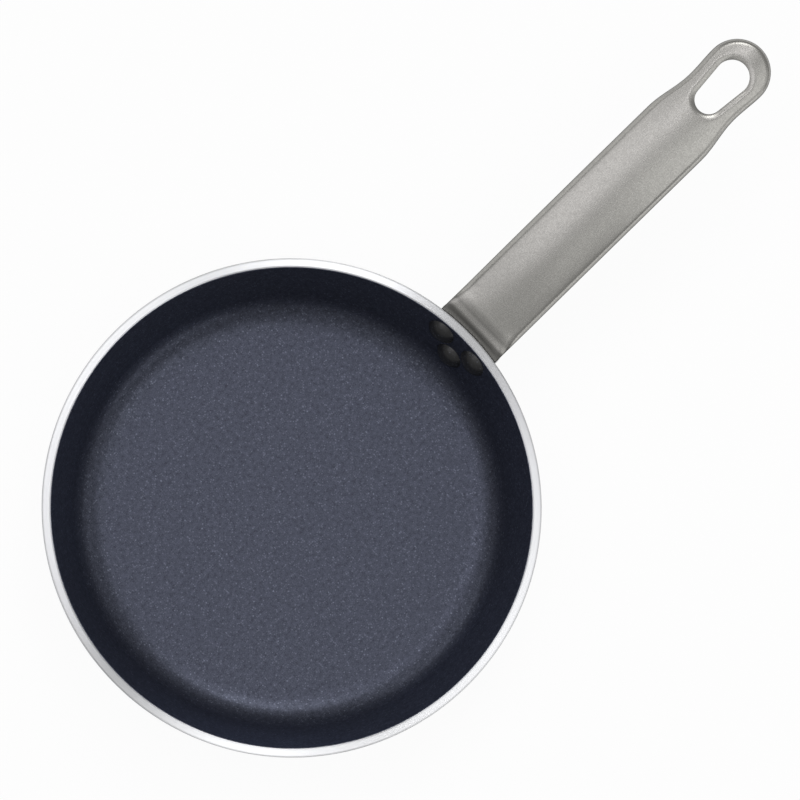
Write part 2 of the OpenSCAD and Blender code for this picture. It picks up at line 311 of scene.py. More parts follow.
class StripShape:
    """The pressed strip: its side view, its outline and its two faces, as functions of s and y."""

    def __init__(self, dish, strip, rivets):
        self.dish, self.strip, self.rivets = dish, strip, rivets
        self.seat = dish.wall + rivets.fit
        lower_z = dish.height - rivets.lower_drop
        self.start_z = lower_z - self.seat * math.sin(dish.flare) - strip.tongue * math.cos(dish.flare)
        self.bend_z = dish.height - strip.bend_drop
        self.climb = (self.bend_z - self.start_z) / math.cos(dish.flare)
        bend_turn = math.pi / 2 - dish.flare - strip.bend_slope
        hollow_turn = strip.root_slope - strip.bend_slope
        self.stretches = [
            (self.climb, 0.0),
            (strip.bend * bend_turn, -bend_turn),
            (strip.hollow * hollow_turn, hollow_turn),
            (strip.grip, strip.eye_slope - strip.root_slope),
            (strip.eye, strip.tip_slope - strip.eye_slope),
        ]
        self.bend_end = self.climb + self.stretches[1][0]
        self.length = sum(run for run, turn in self.stretches)

    def side_view(self, s):
        """Point and heading at s: each stretch turns evenly, so its chord is its run times sin(h)/h, with h
        half its turn."""
        x = np.full_like(s, wall_radius(self.dish, self.start_z, self.seat))
        z = np.full_like(s, self.start_z)
        heading = np.full_like(s, math.pi / 2 - self.dish.flare)
        done = 0.0
        for run, turn in self.stretches:
            gone = np.clip(s - done, 0, run)
            half = turn * gone / run / 2
            chord = gone * np.sinc(half / np.pi)
            x = x + chord * np.cos(heading + half)
            z = z + chord * np.sin(heading + half)
            heading = heading + 2 * half
            done += run
        return x, z, heading

    def half_width(self, s):
        """Half the width at s: a round tongue widening to the strip, a shoulder, a neck and a round end."""
        p = self.strip
        tip = self.length - s
        widening = p.tongue + (p.width / 2 - p.tongue) * ease(
            s, p.tongue, p.tongue + self.rivets.lower_drop - self.rivets.upper_drop)
        shoulder = p.neck / 2 + (p.width - p.neck) / 2 * ease(tip, p.neck_from_tip, p.eye + EYE_LEAD)
        throat = p.round_end + (p.neck / 2 - p.round_end) * ease(tip, p.round_end, p.neck_from_tip)
        end = np.sqrt(np.maximum(0, p.round_end ** 2 - (p.round_end - tip) ** 2))
        width = np.where(tip < p.eye + EYE_LEAD, shoulder, widening)
        width = np.where(tip < p.neck_from_tip, throat, width)
        return np.where(tip < p.round_end, end, width)

    def edge_distance(self, s, y):
        """Distance from the strip's outer edge."""
        p = self.strip
        tip = self.length - s
        return np.where(tip < p.round_end, p.round_end - np.hypot(p.round_end - tip, y),
                        self.half_width(s) - np.abs(y))

    def slot_reach(self, s, y):
        """Distance from the slot's edge, and the direction away from it: two round ends and the straight
        flanks between them."""
        p = self.strip
        x = self.length - p.slot_from_tip - s
        lean = (p.slot_wide - p.slot_narrow) / p.slot_span
        level = math.sqrt(1 - lean ** 2)
        side = np.where(y < 0, -1.0, 1.0)
        place = np.abs(y) * -lean + x * level
        wide, narrow = np.hypot(x, y), np.hypot(x - p.slot_span, y)
        in_wide, in_narrow = place < 0, place > level * p.slot_span
        reach = np.where(in_wide, wide - p.slot_wide,
                         np.where(in_narrow, narrow - p.slot_narrow,
                                  np.abs(y) * level + x * lean - p.slot_wide))
        away_x = np.where(in_wide, x / wide, np.where(in_narrow, (x - p.slot_span) / narrow, lean))
        away_y = np.where(in_wide, y / wide, np.where(in_narrow, y / narrow, side * level))
        return reach, -away_x, away_y

    def fall(self, s, y):
        """How far the crowned face lies under its centre line: crown, rolled edge and dished slot."""
        p = self.strip
        into_lip = np.maximum(0, p.lip * math.sin(p.lip_turn) - self.edge_distance(s, y))
        into_dish = np.maximum(0, 1 - np.maximum(0, self.slot_reach(s, y)[0]) / p.dish_width)
        crown = p.crown - np.sqrt(p.crown ** 2 - y ** 2)
        lip = p.lip - np.sqrt(np.maximum(0, p.lip ** 2 - into_lip ** 2))
        return crown + lip + p.dish_depth * into_dish ** 2

    def face(self, s, y):
        """A point of the upper face: the side view's point, moved square to it by the wall's curve or by the
        fall."""
        x, z, heading = self.side_view(s)
        crowned = ease(s, self.climb, self.bend_end + self.strip.crown_start)
        radius = wall_radius(self.dish, np.minimum(z, self.bend_z), self.seat)
        rise = (1 - crowned) * wrap(self.dish, radius, y) - crowned * self.fall(s, y)
        return np.stack([x - rise * np.sin(heading), y, z + rise * np.cos(heading)], -1)

    def outline(self, join, cells):
        """The eye's outer edge as a closed loop of (s, y), against the clock: join line, side, round end,
        side."""
        p = self.strip
        across = evenly([join, self.half_width(join)], [join, -self.half_width(join)], cells + 1)[:-1]
        s = np.linspace(join, self.length - p.round_end, cells + 1)[:-1]
        side = np.stack([s, -self.half_width(s)], -1)
        end = arc([self.length - p.round_end, 0], p.round_end, -90, 90, cells + 11)
        back = np.stack([s[:0:-1], self.half_width(s[:0:-1])], -1)
        return np.vstack([across, side, end, back])


def wrap(dish, radius, y):
    """How far a face on the round, flared wall stands inwards at y, square to the wall: the near root of its
    quadratic."""
    across = math.cos(dish.flare)
    lean = math.sin(dish.flare) * math.tan(dish.flare)
    a = across ** 2 - lean ** 2
    b = 2 * radius * (across + lean)
    return (b - np.sqrt(b ** 2 - 4 * a * y ** 2)) / (2 * a)


def strip_patches(shape):
    """The strip's face as three grids of (s, y): a round tongue, the rows along the grip, and rings round the
    slot."""
    p = shape.strip
    shares = np.linspace(-1, 1, ACROSS_CELLS + 1)
    u, v = np.meshgrid(np.linspace(-1, 0, TONGUE_ROWS), shares, indexing="ij")
    tongue = p.tongue * np.stack([1 + u * np.sqrt(1 - v ** 2 / 2), v * np.sqrt(1 - u ** 2 / 2)], -1)
    join = shape.length - p.eye - EYE_LEAD
    s = np.linspace(p.tongue, join, int((join - p.tongue) / MM))
    rows = np.stack([s[:, None] + 0 * shares, shape.half_width(s)[:, None] * shares], -1)
    loop = shape.outline(np.array(join), ACROSS_CELLS)
    reach, away_s, away_y = shape.slot_reach(loop[:, 0], loop[:, 1])
    t = np.linspace(1, 0, EYE_RINGS)[:, None]
    rings = np.stack([loop[:, 0] - t * reach * away_s, loop[:, 1] - t * reach * away_y], -1)
    return [(tongue, False), (rows, False), (rings, True)]


def finish_edges(piece, thickness, edge):
    """Gives a face its thickness on the side away from its normals, and rounds the edges that this makes."""
    wall = piece.modifiers.new("Strip thickness", "SOLIDIFY")
    wall.thickness = thickness
    wall.offset = -1
    wall.use_even_offset = True
    wall.use_quality_normals = True
    rounding = piece.modifiers.new("Deburred edges", "BEVEL")
    rounding.limit_method = "ANGLE"
    rounding.angle_limit = math.radians(50)
    rounding.width = edge
    rounding.segments = 3


# Rivets

DOME_STEPS, SEAT_STEPS, ROUND_STEPS = 22, 5, 96


def rivet_outline(dish, strip, rivets):
    """From the dome's centre to the formed head's centre: rows of [radius, depth into the wall, share of the
    seat's curve]."""
    tail_seat = dish.wall + strip.thickness + 2 * rivets.fit
    rows = []
    for diameter, height, seat, way in ((rivets.head, rivets.head_height, -rivets.fit, -1),
                                        (rivets.tail, rivets.tail_height, tail_seat, 1)):
        ball = ((diameter / 2) ** 2 + height ** 2) / (2 * height)
        widest = math.asin(diameter / 2 / ball)
        t = np.linspace(0, widest, DOME_STEPS)
        depth = seat + way * (ball * np.cos(t) - ball + height)
        cap = np.stack([ball * np.sin(t), depth, np.ones_like(t)], -1)
        inward = np.linspace(diameter / 2, rivets.shank / 2, SEAT_STEPS)[1:]
        under = np.stack([inward, seat + 0 * inward, np.ones_like(inward)], -1)
        rows.append(np.vstack([cap, under]))
    return np.vstack([rows[0], rows[1][::-1]])


def rivet_piece(name, dish, strip, rivets, azimuth, z):
    """A rivet turned about the wall's normal, with its heads following the round wall that they are pressed
    on."""
    outline = rivet_outline(dish, strip, rivets)
    a = np.linspace(0, 2 * np.pi, ROUND_STEPS, endpoint=False)
    r, depth, seated = (outline[:, k:k + 1] for k in range(3))
    down, side = r * np.cos(a), r * np.sin(a)
    radius = wall_radius(dish, z - down * math.cos(dish.flare), 0)
    inwards = depth - seated * wrap(dish, radius, side)
    local = np.stack([down, side, inwards], -1).reshape(-1, 3)
    place = (Matrix.Rotation(azimuth, 4, "Z")
             @ Matrix.Translation((wall_radius(dish, z, 0), 0, z))
             @ Matrix.Rotation(math.pi / 2 + dish.flare, 4, "Y"))
    turned = np.array(place)
    points = local @ turned[:3, :3].T + turned[:3, 3]
    piece = mesh_piece(name, points, grid_faces(len(outline), len(a), True))
    rows = np.repeat(np.arange(len(outline) - 1), len(a))
    piece.data.polygons.foreach_set("material_index", (rows >= len(outline) // 2).astype(np.int32))
    weld(piece)
    smooth(piece, 40)
    return piece


# Materials

def put(tree, kind, label="", values=None, **settings):
    """A node with its settings, whose inputs are set to values or linked from other nodes' outputs."""
    node = tree.nodes.new(kind)
    node.label = label
    for key, value in settings.items():
        setattr(node, key, value)
    for key, value in (values or {}).items():
        if isinstance(value, bpy.types.NodeSocket):
            tree.links.new(value, node.inputs[key])
        else:
            node.inputs[key].default_value = value
    return node


def math_node(tree, operation, a, b=0.0, clamp=False):
    """Output of a Math node."""
    return put(tree, "ShaderNodeMath", values={0: a, 1: b}, operation=operation, use_clamp=clamp).outputs[0]


def mix_colour(tree, factor, first, second):
    """Output of a colour mix; first and second are colours or sockets. The node's sockets share their names,
    so they are taken by place: 0 factor, 6 and 7 the colours, 2 the result."""
    node = put(tree, "ShaderNodeMix", data_type="RGBA")
    for key, value in ((0, factor), (6, first), (7, second)):
        if isinstance(value, bpy.types.NodeSocket):
            tree.links.new(value, node.inputs[key])
        elif key == 0:
            node.inputs[key].default_value = value
        else:
            node.inputs[key].default_value = (*value, 1.0)
    return node.outputs[2]


def map_range(tree, value, start=0.0, end=1.0, low=0.0, high=1.0):
    """Output that goes from low to high as the value goes from start to end, and stays level beyond."""
    return put(tree, "ShaderNodeMapRange", values={"Value": value, "From Min": start, "From Max": end,
                                                   "To Min": low, "To Max": high}).outputs[0]


def tint(tree, mask, strength, under, over):
    """Output of a colour mix that lays over onto under by the mask times the strength."""
    return mix_colour(tree, math_node(tree, "MULTIPLY", mask, strength), under, over)


def new_group(name, inputs, outputs):
    """An empty shader node group with these input sockets, as (name, kind, default), and output sockets."""
    tree = bpy.data.node_groups.new(name, "ShaderNodeTree")
    for label, kind, default in inputs:
        socket = tree.interface.new_socket(label, in_out="INPUT", socket_type=kind)
        if default is not None:
            socket.default_value = default
    for label, kind in outputs:
        tree.interface.new_socket(label, in_out="OUTPUT", socket_type=kind)
    return tree, tree.nodes.new("NodeGroupInput").outputs, tree.nodes.new("NodeGroupOutput").inputs


GRAIN, FLECKS, TURNING = "Sprayed grain", "Flecks", "Turning marks"


def grain_group():
    """Fine grain of a sprayed or stoved coat: a mask from 0 to 1 and a height, from two sizes of noise."""
    tree, inside, outside = new_group(
        GRAIN,
        [("Vector", "NodeSocketVector", None), ("Size", "NodeSocketFloat", 1.0),
         ("Contrast", "NodeSocketFloat", 1.0), ("Coarse", "NodeSocketFloat", 0.35)],
        [("Mask", "NodeSocketFloat"), ("Height", "NodeSocketFloat")])
    scale = math_node(tree, "DIVIDE", 1.0, inside["Size"])
    fine = put(tree, "ShaderNodeTexNoise", values={"Vector": inside["Vector"], "Scale": scale, "Detail": 3.0,
                                                   "Roughness": 0.6}).outputs["Fac"]
    coarse_scale = math_node(tree, "MULTIPLY", scale, 0.3)
    coarse = put(tree, "ShaderNodeTexNoise", values={"Vector": inside["Vector"], "Scale": coarse_scale,
                                                     "Detail": 2.0}).outputs["Fac"]
    both = put(tree, "ShaderNodeMix", values={0: inside["Coarse"], 2: fine, 3: coarse}).outputs[0]
    centred = math_node(tree, "SUBTRACT", both, 0.5)
    spread = math_node(tree, "MULTIPLY", centred, inside["Contrast"])
    mask = math_node(tree, "ADD", spread, 0.5, clamp=True)
    tree.links.new(mask, outside["Mask"])
    tree.links.new(both, outside["Height"])
    return tree


def fleck_group():
    """Scattered flecks: a mask of small dots, each kept or dropped by its own random value. Two more of its
    random values make its radius 0.4 to 1.4 times the one given, and its strength 0.35 to 1."""
    tree, inside, outside = new_group(
        FLECKS,
        [("Vector", "NodeSocketVector", None), ("Spacing", "NodeSocketFloat", 0.001),
         ("Radius", "NodeSocketFloat", 0.3), ("Kept", "NodeSocketFloat", 0.5)],
        [("Mask", "NodeSocketFloat")])
    scale = math_node(tree, "DIVIDE", 1.0, inside["Spacing"])
    cells = put(tree, "ShaderNodeTexVoronoi", values={"Vector": inside["Vector"], "Scale": scale})
    pick = put(tree, "ShaderNodeSeparateColor", values={"Color": cells.outputs["Color"]})
    radius = math_node(tree, "MULTIPLY", inside["Radius"], math_node(tree, "ADD", pick.outputs["Green"], 0.4))
    dot = map_range(tree, cells.outputs["Distance"], radius, 0.0)
    kept = math_node(tree, "LESS_THAN", pick.outputs["Red"], inside["Kept"])
    strength = math_node(tree, "MULTIPLY", kept, math_node(tree, "ADD", pick.outputs["Blue"], 0.35))
    mask = math_node(tree, "MULTIPLY", dot, strength, clamp=True)
    tree.links.new(mask, outside["Mask"])
    return tree


def from_axis(tree, where):
    """Direction away from the axis, distance from it, and height, of a place in the object's coordinates."""
    split = put(tree, "ShaderNodeSeparateXYZ", values={"Vector": where}).outputs
    flat = put(tree, "ShaderNodeCombineXYZ", values={"X": split["X"], "Y": split["Y"]}).outputs[0]
    away = put(tree, "ShaderNodeVectorMath", values={0: flat}, operation="NORMALIZE").outputs["Vector"]
    radius = put(tree, "ShaderNodeVectorMath", values={0: flat}, operation="LENGTH").outputs["Value"]
    return away, radius, split["Z"]


def turning_group():
    """Marks of a turning tool: noise over the distance from the axis and the height, hardly changing round
    it."""
    tree, inside, outside = new_group(
        TURNING,
        [("Vector", "NodeSocketVector", None), ("Pitch", "NodeSocketFloat", 0.0004)],
        [("Mask", "NodeSocketFloat"), ("Height", "NodeSocketFloat")])
    away, radius, height = from_axis(tree, inside["Vector"])
    place = put(tree, "ShaderNodeCombineXYZ", values={
        "X": math_node(tree, "DIVIDE", radius, inside["Pitch"]),
        "Y": math_node(tree, "DIVIDE", height, inside["Pitch"])}).outputs[0]
    round_it = put(tree, "ShaderNodeVectorMath", values={0: away, 1: (1.5, 1.5, 1.5)},
                   operation="MULTIPLY").outputs[0]
    at = put(tree, "ShaderNodeVectorMath", values={0: place, 1: round_it}, operation="ADD").outputs[0]
    marks = put(tree, "ShaderNodeTexNoise", values={"Vector": at, "Scale": 1.0, "Detail": 4.0,
                                                    "Roughness": 0.7}).outputs["Fac"]
    broad = put(tree, "ShaderNodeTexNoise", values={"Vector": at, "Scale": 0.12,
                                                    "Detail": 2.0}).outputs["Fac"]
    mask = map_range(tree, math_node(tree, "ADD", marks, broad), 0.75, 1.25)
    tree.links.new(mask, outside["Mask"])
    tree.links.new(marks, outside["Height"])
    return tree


BUILDERS = {GRAIN: grain_group, FLECKS: fleck_group, TURNING: turning_group}


def group_node(tree, name, values):
    """Places a node group, which is built the first time it is asked for."""
    made = bpy.data.node_groups.get(name)
    return put(tree, "ShaderNodeGroup", values=values, node_tree=made or BUILDERS[name]())


# Attributes of the handle's points: distance from its outer edge, and distance along it from the root bend.
EDGE_ATTRIBUTE = "edge_distance"
FOLD_ATTRIBUTE = "fold_distance"
# Painted shade: darker bands across the handle's root, where the fold behind the rim lies in shadow: middle,
# half width, fade and strength.
FOLD_SHADE_LINES = (
    (0.9 * MM, 4.0 * MM, 2.2 * MM, 0.33),
    (-2.1 * MM, 0.5 * MM, 1.5 * MM, 0.66),
    (2.8 * MM, 0.2 * MM, 1.1 * MM, 0.26),
)


def new_material(name):
    """A material with a Principled shader, and the object's own coordinates to read."""
    material = bpy.data.materials.new(name)
    material.use_nodes = True
    tree = material.node_tree
    shader = tree.nodes["Principled BSDF"]
    where = tree.nodes.new("ShaderNodeTexCoord").outputs["Object"]
    return material, tree, shader, where


def bump(tree, height, distance, strength=1.0):
    """Normal from a height; distance is the height's full swing in metres."""
    return put(tree, "ShaderNodeBump", values={"Height": height, "Distance": distance,
                                               "Strength": strength}).outputs["Normal"]


EDGE_SHADE_WIDTH = 1.0 * MM           # width of the painted shade along the rim's outer edge


def rim_edge(tree, radius, height, dish):
    """Mask of the rim's outer edge, where shade is painted, from the distance from the axis and the height.
    """
    rim = dish.rim_diameter / 2
    outer = map_range(tree, radius, rim - EDGE_SHADE_WIDTH, rim - dish.chamfer)
    upper = map_range(tree, height, dish.height - 2 * dish.chamfer, dish.height - dish.chamfer)
    return math_node(tree, "MULTIPLY", outer, upper)


def turned_aluminium(finish, dish):
    """Bare aluminium with turning marks round the axis, which draw highlights out across them, and painted
    shade along the outer edge."""
    material, tree, shader, where = new_material("Turned aluminium")
    away, radius, height = from_axis(tree, where)
    marks = group_node(tree, TURNING, {"Vector": where, "Pitch": 0.35 * MM})
    light = np.array(finish.aluminium)
    shade = mix_colour(tree, marks.outputs["Mask"], light * 0.93, light)
    stain = group_node(tree, GRAIN, {"Vector": where, "Size": 9 * MM, "Contrast": 2.0})
    stained = tint(tree, stain.outputs["Mask"], 0.08, shade, light * 0.6)
    # Painted shade: the colour falls to 0.62 of the metal's along the outer edge.
    edge = rim_edge(tree, radius, height, dish)
    tree.links.new(mix_colour(tree, edge, stained, light * 0.62), shader.inputs["Base Color"])
    rough = map_range(tree, marks.outputs["Mask"],
                      low=finish.aluminium_rough * 1.12, high=finish.aluminium_rough * 0.9)
    tree.links.new(rough, shader.inputs["Roughness"])
    shader.inputs["Metallic"].default_value = 1.0
    shader.inputs["Anisotropic"].default_value = finish.turned
    tree.links.new(away, shader.inputs["Tangent"])
    tree.links.new(bump(tree, marks.outputs["Height"], 0.006 * MM), shader.inputs["Normal"])
    return material


def nonstick_navy(finish):
    """Navy sprayed coating whose pigment flakes shine a little, with fine and bold mineral flecks."""
    material, tree, shader, where = new_material("Non-stick coating")
    ground = np.array(finish.navy)
    cloud = group_node(tree, GRAIN, {"Vector": where, "Size": 0.6 * MM, "Contrast": 3.2})
    coat = mix_colour(tree, cloud.outputs["Mask"], ground * 0.58, ground * 1.42)
    fine = group_node(tree, FLECKS, {"Vector": where, "Spacing": 0.95 * MM, "Radius": 0.5, "Kept": 0.35})
    bold = group_node(tree, FLECKS, {"Vector": where, "Spacing": 1.7 * MM, "Radius": 0.24, "Kept": 0.22})
    with_fine = tint(tree, fine.outputs["Mask"], 0.38, coat, finish.fleck)
    with_bold = tint(tree, bold.outputs["Mask"], 0.6, with_fine, finish.fleck)
    tree.links.new(with_bold, shader.inputs["Base Color"])
    shader.inputs["Metallic"].default_value = finish.pearl
    shader.inputs["Specular Tint"].default_value = (0.70, 0.80, 1.0, 1.0)
    rough = map_range(tree, cloud.outputs["Mask"],
                      low=finish.coating_rough * 1.1, high=finish.coating_rough * 0.9)
    tree.links.new(rough, shader.inputs["Roughness"])
    shader.inputs["Specular IOR Level"].default_value = 0.5
    peel = group_node(tree, GRAIN, {"Vector": where, "Size": 1.0 * MM, "Contrast": 1.0})
    tree.links.new(bump(tree, peel.outputs["Height"], 0.05 * MM), shader.inputs["Normal"])
    return material


def stoved_grey(finish):
    """Metallic grey stoved coating on steel: a fine grain with dark flakes, and painted shade along the outer
    edges and across the fold behind the rim."""
    material, tree, shader, where = new_material("Stoved grey coating")
    ground = np.array(finish.stoved)
    grain = group_node(tree, GRAIN, {"Vector": where, "Size": 0.85 * MM, "Contrast": 3.2, "Coarse": 0.2})
    coat = mix_colour(tree, grain.outputs["Mask"], ground * 0.89, ground * 1.11)
    specks = group_node(tree, FLECKS, {"Vector": where, "Spacing": 0.8 * MM, "Radius": 0.45, "Kept": 0.3})
    speckled = tint(tree, specks.outputs["Mask"], 0.25, coat, ground * 0.6)
    # Painted shade: the colour darkens within 0.6 mm of the outer edge, where the strip's edge and side face
    # would lie in shade.
    edge = put(tree, "ShaderNodeAttribute", attribute_name=EDGE_ATTRIBUTE).outputs["Fac"]
    shade = tint(tree, map_range(tree, edge, 0.6 * MM, 0.2 * MM), 0.8, speckled, ground * 0.2)
    fold = put(tree, "ShaderNodeAttribute", attribute_name=FOLD_ATTRIBUTE).outputs["Fac"]
    # Painted shade: each band darkens the colour across the fold behind the rim.
    for middle, half, fade, strength in FOLD_SHADE_LINES:
        away = math_node(tree, "ABSOLUTE", math_node(tree, "SUBTRACT", fold, middle))
        line = map_range(tree, away, half + fade, half, high=strength)
        shade = mix_colour(tree, line, shade, ground * 0.15)
    tree.links.new(shade, shader.inputs["Base Color"])
    rough = map_range(tree, grain.outputs["Mask"],
                      low=finish.stoved_rough * 1.08, high=finish.stoved_rough * 0.92)
    tree.links.new(rough, shader.inputs["Roughness"])
    shader.inputs["Metallic"].default_value = 0.85
    tree.links.new(bump(tree, grain.outputs["Height"], 0.003 * MM), shader.inputs["Normal"])
    return material


def coated_dome(finish):
    """Dark coating over the rivets' domes, worn a little lighter by scouring."""
    material, tree, shader, where = new_material("Coated rivet dome")
    ground = np.array(finish.dome)
    grain = group_node(tree, GRAIN, {"Vector": where, "Size": 0.8 * MM, "Contrast": 2.4})
    coat = mix_colour(tree, grain.outputs["Mask"], ground * 0.7, ground * 1.4)
    specks = group_node(tree, FLECKS, {"Vector": where, "Spacing": 0.8 * MM, "Radius": 0.4, "Kept": 0.25})
    worn = tint(tree, specks.outputs["Mask"], 0.25, coat, finish.fleck)
    tree.links.new(worn, shader.inputs["Base Color"])
    rough = map_range(tree, grain.outputs["Mask"], low=0.34, high=0.27)
    tree.links.new(rough, shader.inputs["Roughness"])
    shader.inputs["Specular IOR Level"].default_value = 0.6
    tree.links.new(bump(tree, grain.outputs["Height"], 0.03 * MM), shader.inputs["Normal"])
    return material


def upset_aluminium(finish):
    """Bare aluminium of a rivet's formed head, dulled and dimpled by the rivet set."""
    material, tree, shader, where = new_material("Upset aluminium")
    light = np.array(finish.aluminium)
    dents = group_node(tree, GRAIN, {"Vector": where, "Size": 2.2 * MM, "Contrast": 2.0})
    dulled = mix_colour(tree, dents.outputs["Mask"], light * 0.78, light * 0.95)
    tree.links.new(dulled, shader.inputs["Base Color"])
    rough = map_range(tree, dents.outputs["Mask"], low=0.38, high=0.28)
    tree.links.new(rough, shader.inputs["Roughness"])
    shader.inputs["Metallic"].default_value = 1.0
    tree.links.new(bump(tree, dents.outputs["Height"], 0.12 * MM), shader.inputs["Normal"])
    return material


FLOOR_HALF = 12.0              # half the floor's side
FLOOR_GAP = 0.2 * MM           # from the floor up to the pan's base
CLEAR_BELOW = 3 * MM           # rays shorter than this pass the floor, so light from below reaches the base
WHITE_SHARE = 0.93             # how much of the floor's look is plain white; the rest keeps the shadow


def pale_floor():
    """Pale floor that keeps the pan's shadow: white where it is seen or mirrored, matt to light, and clear
    from below."""
    material, tree, shader, where = new_material("Pale floor")
    shader.inputs["Base Color"].default_value = (0.9, 0.9, 0.9, 1.0)
    shader.inputs["Roughness"].default_value = 0.9
    shader.inputs["Specular IOR Level"].default_value = 0.0
    white = put(tree, "ShaderNodeEmission", values={"Color": (1, 1, 1, 1), "Strength": 1.0})
    path = put(tree, "ShaderNodeLightPath")
    mirrored = math_node(tree, "MAXIMUM", path.outputs["Is Glossy Ray"], path.outputs["Is Transmission Ray"])
    shown = math_node(tree, "MAXIMUM", path.outputs["Is Camera Ray"], mirrored)
    seen = math_node(tree, "MULTIPLY", shown, WHITE_SHARE)
    lit = put(tree, "ShaderNodeMixShader", values={0: seen, 1: shader.outputs[0], 2: white.outputs[0]})
    clear = put(tree, "ShaderNodeBsdfTransparent")
    side = put(tree, "ShaderNodeNewGeometry")
    touching = math_node(tree, "LESS_THAN", path.outputs["Ray Length"], CLEAR_BELOW)
    open_below = math_node(tree, "MAXIMUM", side.outputs["Backfacing"], touching)
    both = put(tree, "ShaderNodeMixShader", values={0: open_below, 1: lit.outputs[0], 2: clear.outputs[0]})
    output = tree.nodes["Material Output"]
    tree.links.new(both.outputs[0], output.inputs["Surface"])
    return material


def dress(piece, node, slot, *materials):
    """Gives a piece its materials, lets it ride on the pan, and hides the solid-model part that it stands
    for.
    """
    for material in materials:
        piece.data.materials.append(material)
    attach(piece, BODY)
    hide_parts(node)


# The stage

LAMP_CENTRE = Vector((0.05, 0.0, 0.03))      # the point that every lamp is placed from


def lamp_panel(name, middle, across, along, wide, high, brightness, tint):
    """A rectangular lamp that looks this bright and that the camera doesn't see; it shines square to its two
    edges, and middle is given from the lamps' centre."""
    data = bpy.data.lights.new(name, "AREA")
    data.shape = "RECTANGLE"
    data.size = wide
    data.size_y = high
    data.energy = brightness * math.pi * wide * high
    data.color = tint
    lamp = bpy.data.objects.new(name, data)
    bpy.context.scene.collection.objects.link(lamp)
    place = Matrix((across, along, across.cross(along))).transposed().to_4x4()
    place.translation = LAMP_CENTRE + middle
    lamp.matrix_world = place
    lamp.visible_camera = False


def ceiling_lamp(name, back, ahead, right, left, brightness, tint, distance=3.2):
    """A level lamp over the pan, whose four edges are given in degrees from overhead, ahead being the
    handle's way."""
    x0, x1, y0, y1 = (distance * math.tan(math.radians(edge)) for edge in (back, ahead, right, left))
    lamp_panel(name, Vector(((x0 + x1) / 2, (y0 + y1) / 2, distance)), Vector((1, 0, 0)), Vector((0, 1, 0)),
               x1 - x0, y1 - y0, brightness, tint)


def side_lamp(name, azimuth, spread, low, high, brightness, tint, distance=3.2):
    """A leaning lamp beside the pan, in degrees: azimuth, half its spread, and its edges' angles from
    overhead."""
    turn, down = math.radians(azimuth), math.radians((low + high) / 2)
    towards = Vector((math.sin(down) * math.cos(turn), math.sin(down) * math.sin(turn), math.cos(down)))
    along = Vector((math.cos(down) * math.cos(turn), math.cos(down) * math.sin(turn), -math.sin(down)))
    lamp_panel(name, towards * distance, along.cross(towards), along,
               2 * distance * math.sin(down) * math.sin(math.radians(spread)),
               2 * distance * math.tan(math.radians((high - low) / 2)), brightness, tint)


WHITE = (1.0, 1.0, 1.0)
LILAC = (0.98, 0.965, 1.0)
# Level lamps: back, ahead, right and left edge, brightness, tint.
CEILING_LAMPS = (
    ("Ceiling back right", -50, -25, -40, 12, 0.30, WHITE),
    ("Ceiling back left", -50, -25, 12, 40, 0.90, LILAC),
    ("Ceiling left", -25, 8, 4, 24, 1.42, LILAC),
    ("Ceiling left strip ahead", 8, 25, 4, 12, 2.60, LILAC),
    ("Ceiling far left", -25, 25, 24, 40, 0.82, LILAC),
    ("Ceiling ahead left", 25, 45, 12, 40, 4.10, WHITE),
    ("Ceiling right", -8, 8, -40, -2, 1.05, WHITE),
    ("Ceiling ahead right", 8, 25, -40, -8, 1.25, WHITE),
)
# Leaning lamps: azimuth, half spread, upper and lower edge, brightness, tint, and the distance of near ones.
SIDE_LAMPS = (
    ("Side right", 270, 22.5, 70, 88, 1.28, WHITE),
    ("Side left", 90, 22.5, 52, 88, 0.80, WHITE),
    ("Near back right", 225, 22.5, 8, 24, 0.84, WHITE, 0.9),
    ("Near ahead right", 318, 20, 48, 72, 0.58, WHITE, 0.6),
)


def place_camera(context):
    """A long lens over the handle's axis, leaning away from the handle, with the handle turned up to the
    right."""
    studio = context.scene.pan_studio
    data = bpy.data.cameras.new("Camera")
    camera = bpy.data.objects.new("Camera", data)
    context.scene.collection.objects.link(camera)
    data.sensor_width = 36.0
    data.lens = data.sensor_width * studio.distance / studio.frame_width
    data.clip_end = 50.0
    aim = Vector((studio.aim_along, studio.aim_across, PAN_HEIGHT))
    back = Vector((-math.tan(studio.tilt), -math.tan(studio.lean), 1.0)).normalized()
    ahead = (Vector((1.0, 0.0, 0.0)) - back * back.x).normalized()
    left = back.cross(ahead)
    right = ahead * math.cos(studio.turn) - left * math.sin(studio.turn)
    up = ahead * math.sin(studio.turn) + left * math.cos(studio.turn)
    turned = Matrix((right, up, back)).transposed().to_4x4()
    turned.translation = aim + back * studio.distance
    camera.matrix_world = turned
    context.scene.camera = camera


# Operators

class PAN_OT_dish(bpy.types.Operator):
    """Spins the aluminium dish with its turned rim and base"""
    bl_idname = "omelette_pan.dish"
    bl_label = "Dish"

    def execute(self, context):
        dish, strip, rivets, finish = sizes(context)
        piece = revolve("dish_shell", dish_outline(dish), dish.steps)
        weld(piece)
        smooth(piece, 30)
        dress(piece, "pan_body", "bare_aluminium", turned_aluminium(finish, dish))
        return {"FINISHED"}


class PAN_OT_coating(bpy.types.Operator):
    """Lays the non-stick coating on the inside"""
    bl_idname = "omelette_pan.coating"
    bl_label = "Coating"

    def execute(self, context):
        dish, strip, rivets, finish = sizes(context)
        piece = revolve("coating_layer", coating_outline(dish), dish.steps)
        weld(piece)
        smooth(piece, 30)
        dress(piece, "nonstick_coating", "nonstick", nonstick_navy(finish))
        return {"FINISHED"}


